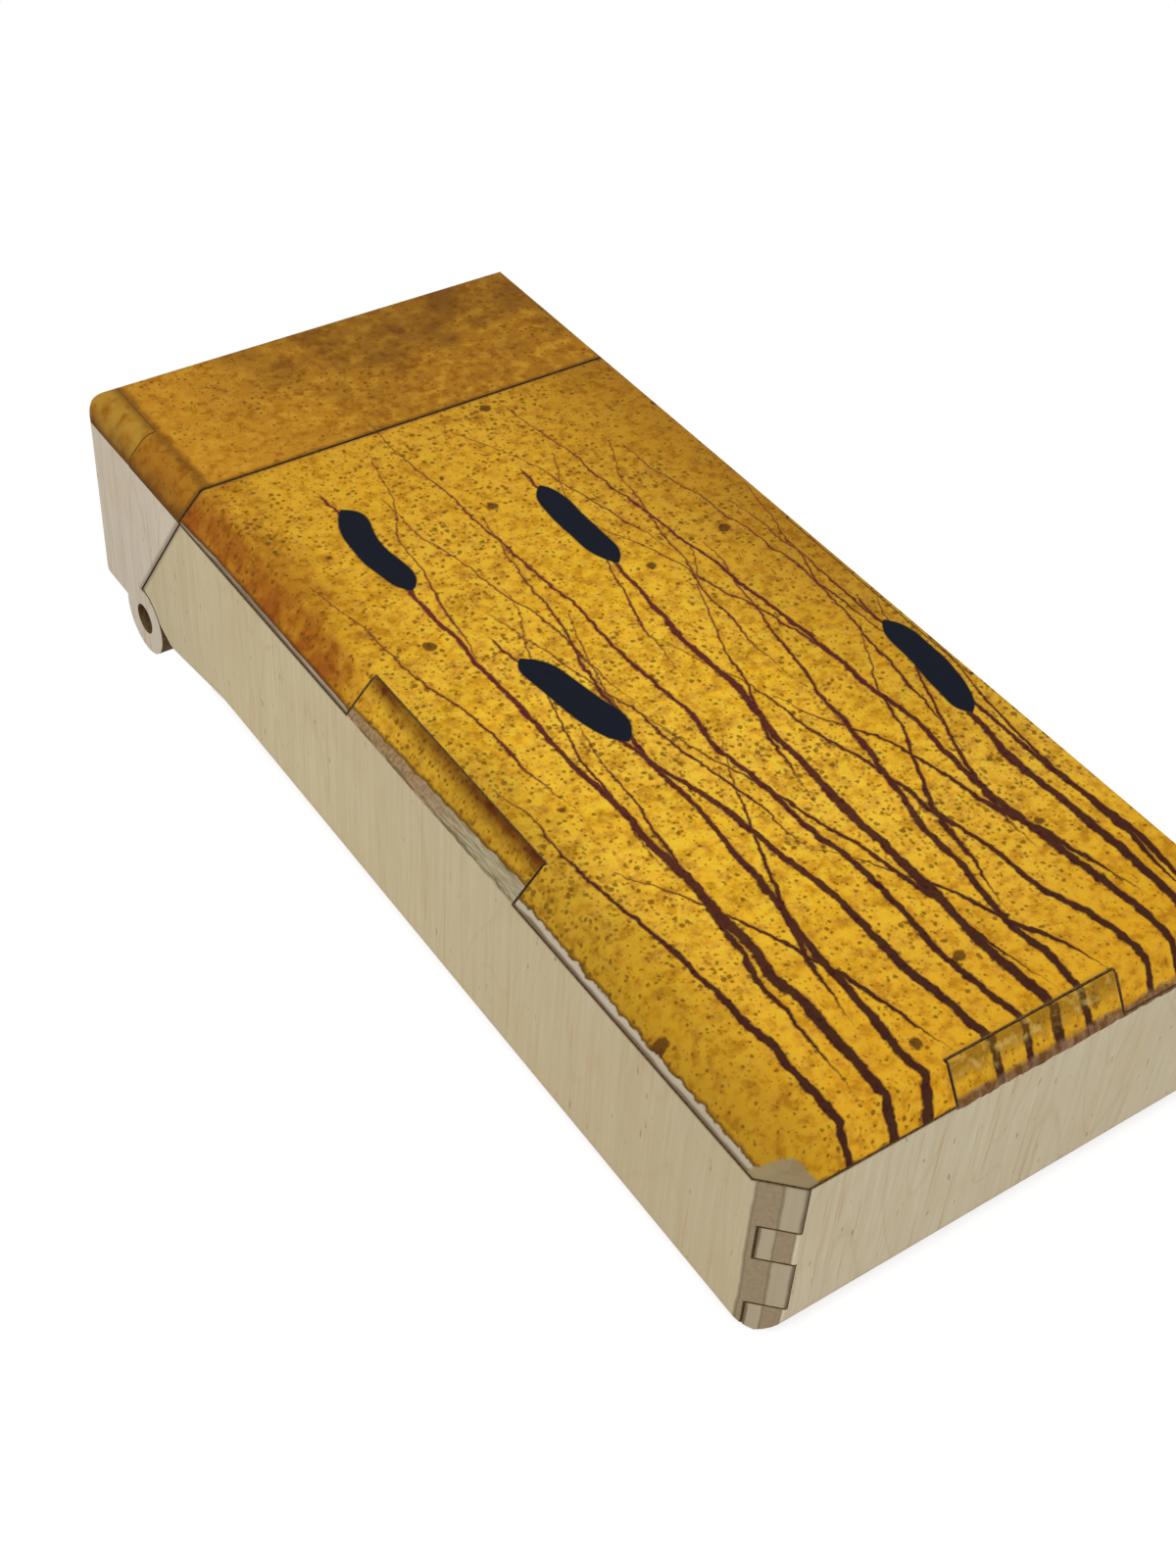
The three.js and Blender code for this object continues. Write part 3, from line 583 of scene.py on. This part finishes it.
def bare_corners(tree, across, along, cloud, zone, ink, cover):
    """The two near corners, sanded bare after the print was dry."""
    corner = add(tree, "Math", {0: across}, operation="ABSOLUTE")[0]
    corner = add(tree, "Math", {0: corner, 1: along}, operation="SUBTRACT")[0]
    corner = add(tree, "Math", {0: cloud[1.5], 1: 0.8, 2: corner}, operation="MULTIPLY_ADD")[0]
    edge = front_high.x - front_low.y - 3.2
    kept = add(tree, "MapRange", {0: corner, 1: edge, 2: edge - 0.3})[0]
    bare = add(tree, "MapRange", {0: kept, 3: 0.9, 4: 0})[0]
    bare = add(tree, "Math", {0: bare, 1: zone["over_joint"]}, operation="MULTIPLY")[0]
    ink = add(tree, "Mix", {0: kept, 6: linear("#93805B"), 7: ink}, data_type="RGBA")[2]
    return ink, add(tree, "Math", {0: cover, 1: kept, 2: bare}, operation="MULTIPLY_ADD")[0]


def laser_smoke(tree, along, up, zone, ink, cover):
    """Smoke of the laser on the bare wood, under the joint and on both sides of the slanted seam."""
    pin = sum((Vector(corner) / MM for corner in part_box("left_hinge_pin")), Vector()) / 2
    ear_top = 2 * pin.z
    slant = add(tree, "MapRange", {0: up, 1: joint, 2: ear_top, 3: seam, 4: pin.y})[0]
    aside = add(tree, "Math", {0: along, 1: slant}, operation="SUBTRACT")[0]
    aside = add(tree, "Math", {0: aside}, operation="ABSOLUTE")[0]
    aside = add(tree, "MapRange", {0: aside, 1: 0.7, 2: 0.15, 4: 0.6})[0]
    above_ear = add(tree, "Math", {0: up, 1: ear_top - 0.3}, operation="GREATER_THAN")[0]
    aside = add(tree, "Math", {0: aside, 1: above_ear}, operation="MULTIPLY")[0]
    below = add(tree, "MapRange", {0: up, 1: joint - 0.4, 2: joint - 0.05, 4: 0.6})[0]
    for name in ("side_tab", "end_tab", "lid"):
        below = add(tree, "Mix", {0: zone[name], 2: below, 3: 0})[0]
    smoke = add(tree, "Math", {0: aside, 1: below}, operation="MAXIMUM")[0]
    smoke = add(tree, "Math", {0: smoke, 1: zone["under_joint"]}, operation="MULTIPLY")[0]
    ink = add(tree, "Mix", {0: cover, 6: linear("#54422C"), 7: ink}, data_type="RGBA")[2]
    return ink, add(tree, "Math", {0: cover, 1: smoke}, operation="MAXIMUM")[0]


# Print in transparent ink on the bare veneer: a mottled golden ground, crowded with fine dark specks, with
# maroon reeds and blue-black seed heads over it. One node group, read by every piece that the print covers.
def printed_front():
    tree = bpy.data.node_groups.new("bulrush_print", "ShaderNodeTree")
    tree.interface.new_socket("Place", in_out="INPUT", socket_type="NodeSocketVector")
    tree.interface.new_socket("Ink", in_out="OUTPUT", socket_type="NodeSocketColor")
    tree.interface.new_socket("Cover", in_out="OUTPUT", socket_type="NodeSocketFloat")
    place = tree.nodes.new("NodeGroupInput").outputs[0]
    across, along, up = add(tree, "SeparateXYZ", {0: place})
    cloud = {}
    for size, detail in CLOUDS:
        cloud[size] = add(tree, "TexNoise", {"Vector": place, "Scale": 1 / size, "Detail": detail})["Fac"]
    zone = print_zones(tree, across, along, up)
    ink = golden_ground(tree, across, along, cloud, zone)
    ink = speckled(tree, place, cloud, zone, ink)
    ink = reeds(tree, across, along, cloud, ink)
    ink = tab_edges(tree, across, along, cloud, zone, ink)
    uneven, height = lower_edge(tree, along, up, cloud, zone)
    ink = browned_edges(tree, across, along, height, cloud, zone, ink)
    ink, cover = rubbed_tabs(tree, place, along, uneven, height, cloud, zone, ink)
    ink = browned_end(tree, place, height, zone, ink)
    ink, cover = bare_corners(tree, across, along, cloud, zone, ink, cover)
    ink, cover = laser_smoke(tree, along, up, zone, ink, cover)
    output = tree.nodes.new("NodeGroupOutput")
    tree.links.new(ink, output.inputs["Ink"])
    tree.links.new(cover, output.inputs["Cover"])
    return tree


def lay_print(material):
    """Lays the print over a plywood, where it covers, as a dull coat of ink."""
    tree = material.node_tree
    shader = tree.nodes["Principled BSDF"]
    ink, cover = add(tree, "Group", {"Place": in_millimetres(tree)}, node_tree=print_design)
    outward = add(tree, "SeparateXYZ", {0: add(tree, "TexCoord")["Normal"]})[UP]
    outward = add(tree, "Math", {0: outward, 1: UNDERSIDE}, operation="GREATER_THAN")[0]
    cover = add(tree, "Math", {0: cover, 1: outward}, operation="MULTIPLY")[0]
    wood = shader.inputs["Base Color"].links[0].from_socket
    colour = add(tree, "Mix", {0: cover, 6: wood, 7: ink}, data_type="RGBA")[2]
    tree.links.new(colour, shader.inputs["Base Color"])
    gloss = add(tree, "MapRange", {0: cover, 3: WOOD_GLOSS, 4: INK_GLOSS})[0]
    tree.links.new(gloss, shader.inputs["Specular IOR Level"])
    return material


print_design = printed_front()
front_wood = birch_plywood("printed_front_birch", "front_panel", UP, 1, ALONG, lining="#BBAF9B")
cut_panel("front_panel", "case", UP, lay_print(front_wood))

# Side panels: two pieces of birch with the face grain across the case. Corner fingers lock them to the end,
# and a tab on the front edge of each comes up through the front panel and takes the print.
for side, facing in (("left", -1), ("right", 1)):
    node = side + "_side_panel"
    # The sides take a painted shade, tinted darker towards their bottom end.
    wood = birch_plywood(side + "_side_birch", node, ACROSS, facing, UP, "#C5B692", "#BAAA85", 0.4)
    cut_panel(node, "case", ACROSS, lay_print(wood))

# Bottom end panel: a thinner piece with fingers through both sides and a wide tab into the front panel.
# Sanding its corners flat lays bare the core of the plywood on every finger.
end_wood = birch_plywood("bottom_end_birch", "bottom_end_panel", ALONG, -1, UP, "#C9BC9F", "#BEB092")
cut_panel("bottom_end_panel", "case", ALONG, lay_print(end_wood))

# Inner cheeks and front collar: thin birch liners glued inside the mouth. The lid closes over them, and the
# cheeks carry the hinge lugs.
for side, facing in (("left", -1), ("right", 1)):
    node = side + "_inner_cheek"
    wood = birch_plywood(side + "_cheek_birch", node, ACROSS, facing, ALONG)
    cut_panel(node, "case", ACROSS, wood)
collar_finish = birch_plywood("collar_birch", "front_collar", UP, 1, ACROSS)
cut_panel("front_collar", "case", UP, collar_finish)

# Hinge pins: two short lengths of drawn steel wire, pressed through the lugs from inside and set back a
# little below the face of the ears.
PIN_RIM = 0.25 * MM
ROUND_SIDES = 48
RIM_STRIPS = 3
RIM_ANGLE = math.radians(60)  # an edge of a bar whose faces turn by more than this is a rim


# Drawn steel, dull: grey, with fine marks of the die along the wire.
def drawn_steel():
    material, tree, shader, place = blank("drawn_steel")
    marks = add(tree, "MapRange", {0: grained(tree, place, ACROSS, 0.12, 6, 2), 1: 0.3, 2: 0.7})[0]
    colour = add(tree, "Mix", {0: marks, 6: linear("#6C6862"), 7: linear("#98938B")}, data_type="RGBA")[2]
    tree.links.new(colour, shader.inputs["Base Color"])
    tree.links.new(add(tree, "MapRange", {0: marks, 3: 0.32, 4: 0.5})[0], shader.inputs["Roughness"])
    shader.inputs["Metallic"].default_value = 1
    return material


def turned_piece(node, body, axis, rim, finish):
    """A round bar or disc in its node's place, with both rims rounded."""
    low, high = (Vector(corner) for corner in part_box(node))
    size = high - low
    upright = Euler((0, math.pi / 2, 0)) if axis == ACROSS else Euler((0, 0, 0))
    stand = Matrix.Translation((low + high) / 2) @ upright.to_matrix().to_4x4()
    radius = size[ALONG] / 2
    shape = bmesh.new()
    bmesh.ops.create_cone(shape, cap_ends=True, segments=ROUND_SIDES, radius1=radius, radius2=radius,
                          depth=size[axis], matrix=stand)
    rims = [edge for edge in shape.edges if edge.calc_face_angle(0) > RIM_ANGLE]
    bmesh.ops.bevel(shape, geom=rims, offset=rim, offset_type="OFFSET", affect="EDGES",
                    segments=RIM_STRIPS, profile=0.5, material=-1)
    for face in shape.faces:
        face.smooth = True
    mesh = bpy.data.meshes.new(node + "_turned")
    shape.to_mesh(mesh)
    shape.free()
    mesh.materials.append(finish)
    piece = bpy.data.objects.new(node + "_turned", mesh)
    bpy.context.collection.objects.link(piece)
    piece.modifiers.new("even_shading", "WEIGHTED_NORMAL")
    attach(piece, body)
    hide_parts(node)


steel = drawn_steel()
for side in ("left", "right"):
    turned_piece(side + "_hinge_pin", "case", ACROSS, PIN_RIM, steel)

# Closing magnets: small nickel-plated discs that keep the lid shut. Two are glued into the collar, and
# two into the lid front over them.
MAGNET_RIM = 0.2 * MM


# Bright nickel plate: a hard warm-grey mirror with faint tumbling haze.
def nickel_plate():
    material, tree, shader, place = blank("nickel_plate")
    haze = add(tree, "TexNoise", {"Vector": place, "Scale": 1 / 0.5, "Detail": 4})["Fac"]
    colour = add(tree, "Mix", {0: haze, 6: linear("#B5B0A6"), 7: linear("#CBC7BE")}, data_type="RGBA")[2]
    tree.links.new(colour, shader.inputs["Base Color"])
    rough = add(tree, "MapRange", {0: haze, 1: 0.3, 2: 0.7, 3: 0.14, 4: 0.3})[0]
    tree.links.new(rough, shader.inputs["Roughness"])
    shader.inputs["Metallic"].default_value = 1
    return material


nickel = nickel_plate()
for side in ("left", "right"):
    turned_piece(side + "_case_magnet", "case", UP, MAGNET_RIM, nickel)
    turned_piece(side + "_lid_magnet", "lid", UP, MAGNET_RIM, nickel)

# Lid front panel: birch from the same sheet as the front, let in round the tabs of the lid sides. It was
# printed along with the front, so the print runs on across the seam.
lid_front_wood = birch_plywood("printed_lid_birch", "lid_front_panel", UP, 1, ALONG)
cut_panel("lid_front_panel", "lid", UP, lay_print(lid_front_wood))

# Lid sides: paler pieces of birch with the slanted seam and the hinge ear cut in one, and a tab into the
# lid front.
for side, facing in (("left", -1), ("right", 1)):
    node = side + "_lid_side"
    wood = birch_plywood(side + "_lid_birch", node, ACROSS, facing, UP, "#CEC1AD", "#C5B7A1")
    cut_panel(node, "lid", ACROSS, lay_print(wood))

# Lid top and lid back: plain rectangles of birch, cut by laser and glued in between the lid sides, the top
# under the lid front.
lid_top_finish = birch_plywood("lid_top_birch", "lid_top_panel", ALONG, 1, UP)
cut_panel("lid_top_panel", "lid", ALONG, lid_top_finish)
lid_back_finish = birch_plywood("lid_back_birch", "lid_back_panel", UP, -1, ALONG)
cut_panel("lid_back_panel", "lid", UP, lid_back_finish)

# Table: a wide white board. The case lies on its back with the hinge just past the far edge, so that the
# ears hang free and the lid has room to fold.
TABLE_REACH = 1.5  # metres
EDGE_MARGIN = 4 * MM
TABLE_GAP = 0.05 * MM  # the case stands off the board by the nap of its veneer
TABLE_GLOW = 1.3  # light of its own that lifts the board to the white of the backdrop
GLOW_SHARE = 0.55  # how much of that light is in what the camera sees of the board


def seen_by_eye(tree):
    """1 for a ray that shows the surroundings, straight or in a shiny piece, and 0 for one that lights."""
    rays = add(tree, "LightPath")
    seen = rays["Is Camera Ray"]
    for kind in ("Is Glossy Ray", "Is Transmission Ray"):
        seen = add(tree, "Math", {0: seen, 1: rays[kind]}, operation="ADD")[0]
    return seen


# White laminate, plain and matt. To the camera it is as white as the backdrop, apart from the shadow.
def white_laminate():
    material = bpy.data.materials.new("white_laminate")
    material.use_nodes = True
    tree = material.node_tree
    tree.nodes.clear()
    share = add(tree, "MapRange", {0: seen_by_eye(tree), 4: GLOW_SHARE})[0]
    board = add(tree, "BsdfDiffuse", {"Color": linear("#F4F3F0")})[0]
    glow = add(tree, "Emission", {"Color": linear("#FFFFFF"), "Strength": TABLE_GLOW})[0]
    surface = add(tree, "MixShader", {0: share, 1: board, 2: glow})[0]
    add(tree, "OutputMaterial", {"Surface": surface})
    return material


hinge = Vector(frame["record"]["behaviour"]["joints"][0]["pos_m"])
lid_sweep = cad_box[1][ALONG] - hinge.y
table_edge = hinge.y - lid_sweep - EDGE_MARGIN
shape = bmesh.new()
bmesh.ops.create_grid(shape, x_segments=1, y_segments=1, size=TABLE_REACH)
bmesh.ops.translate(shape, verts=shape.verts, vec=(0, table_edge - TABLE_REACH, outside_low.z - TABLE_GAP))
mesh = bpy.data.meshes.new("table_top")
shape.to_mesh(mesh)
shape.free()
mesh.materials.append(white_laminate())
table = bpy.data.objects.new("table_top", mesh)
bpy.context.collection.objects.link(table)

# Light: an even white room, which shows as a plain white backdrop, with one large soft lamp over the left
# shoulder.
ROOM_LIGHT = 0.6
LAMP_PLACE = Vector((-0.35, -0.2, 0.6))  # metres, as is the lamp's size
LAMP_SIZE = 0.5
LAMP_WATTS = 2.6

world = bpy.data.worlds.new("white_room")
world.use_nodes = True
tree = world.node_tree
tree.nodes.clear()
strength = add(tree, "MapRange", {0: seen_by_eye(tree), 3: ROOM_LIGHT, 4: 1})[0]
backdrop = add(tree, "Background", {"Color": linear("#FFFFFF"), "Strength": strength})[0]
add(tree, "OutputWorld", {"Surface": backdrop})
bpy.context.scene.world = world

lamp_light = bpy.data.lights.new("soft_lamp", "AREA")
lamp_light.energy = LAMP_WATTS
lamp_light.size = LAMP_SIZE
lamp = bpy.data.objects.new("soft_lamp", lamp_light)
lamp.location = LAMP_PLACE
lamp.rotation_euler = (-LAMP_PLACE).to_track_quat("-Z", "Y").to_euler()
bpy.context.collection.objects.link(lamp)

# Camera: held in the hand, close over the left corner of the bottom end. Its place, turn and lens were
# fitted to the edges of the case in the photo.
EYE = Vector((-92.64, -119.185, 148.744)) * MM
TURN = (46.468, -3.011, -34.306)  # degrees
LENS = 51.06  # millimetres, as is the sensor's width
SENSOR = 36
NEAREST = 0.01  # metres

view = bpy.data.cameras.new("photo_view")
view.lens = LENS
view.sensor_width = SENSOR
view.clip_start = NEAREST
camera = bpy.data.objects.new("photo_view", view)
camera.location = EYE
camera.rotation_euler = [math.radians(angle) for angle in TURN]
bpy.context.collection.objects.link(camera)
bpy.context.scene.camera = camera
bpy.context.scene.view_settings.view_transform = "Standard"
